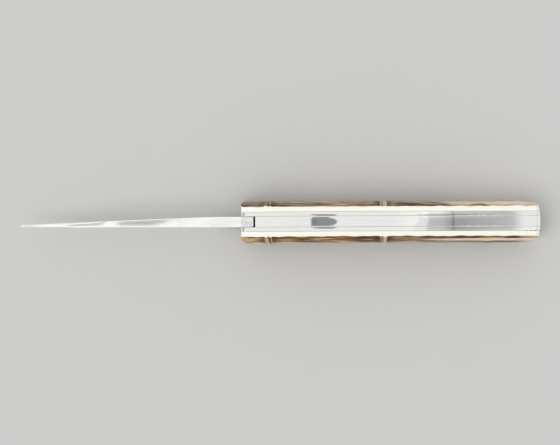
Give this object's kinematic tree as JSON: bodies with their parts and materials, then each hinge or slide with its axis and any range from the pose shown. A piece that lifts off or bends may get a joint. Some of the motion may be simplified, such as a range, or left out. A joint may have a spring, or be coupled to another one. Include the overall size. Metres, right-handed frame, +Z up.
{
  "type": "folding pocket knife",
  "caption": "Slip-joint folding pocket knife with a drop-point blade, steel liners, an arched backspring and ringed bamboo scales.",
  "frame": {"origin": "middle of the open knife's length and width, on the plane that the belly of the handle rests on", "axes": "+X along the knife from the point to the butt, +Y to its right side, +Z up towards the back and the spine"},
  "size_m": [0.1738, 0.0146, 0.0164],
  "materials": {
    "blade_steel": "mirror polished",
    "spring_steel": "mirror polished back",
    "liner_steel": "mirror polished edges",
    "bamboo": "dark mottled skin with ivory cut edges, waxed",
    "pin_steel": "ground flush",
    "bronze": "rolled strip"
  },
  "bodies": {
    "handle": {"backspring": "spring_steel", "left_liner": "liner_steel", "right_liner": "liner_steel", "left_scale": "bamboo", "right_scale": "bamboo", "pivot_pin": "pin_steel", "pivot_bush": "pin_steel", "left_pivot_washer": "bronze", "right_pivot_washer": "bronze", "left_pivot_collar": "pin_steel", "right_pivot_collar": "pin_steel", "spring_pin": "pin_steel", "butt_pin": "pin_steel", "left_front_scale_rivet": "pin_steel", "left_middle_scale_rivet": "pin_steel", "left_rear_scale_rivet": "pin_steel", "right_front_scale_rivet": "pin_steel", "right_middle_scale_rivet": "pin_steel", "right_rear_scale_rivet": "pin_steel"},
    "blade": {"blade": "blade_steel"}
  },
  "joints": [
    {"name": "blade_pivot", "type": "hinge", "parent": "handle", "child": "blade", "pos_m": [-0.00745, 0, 0.00642], "axis": [0, -1, 0], "range_deg": [0, 180], "deforming": ["backspring"]}
  ]
}
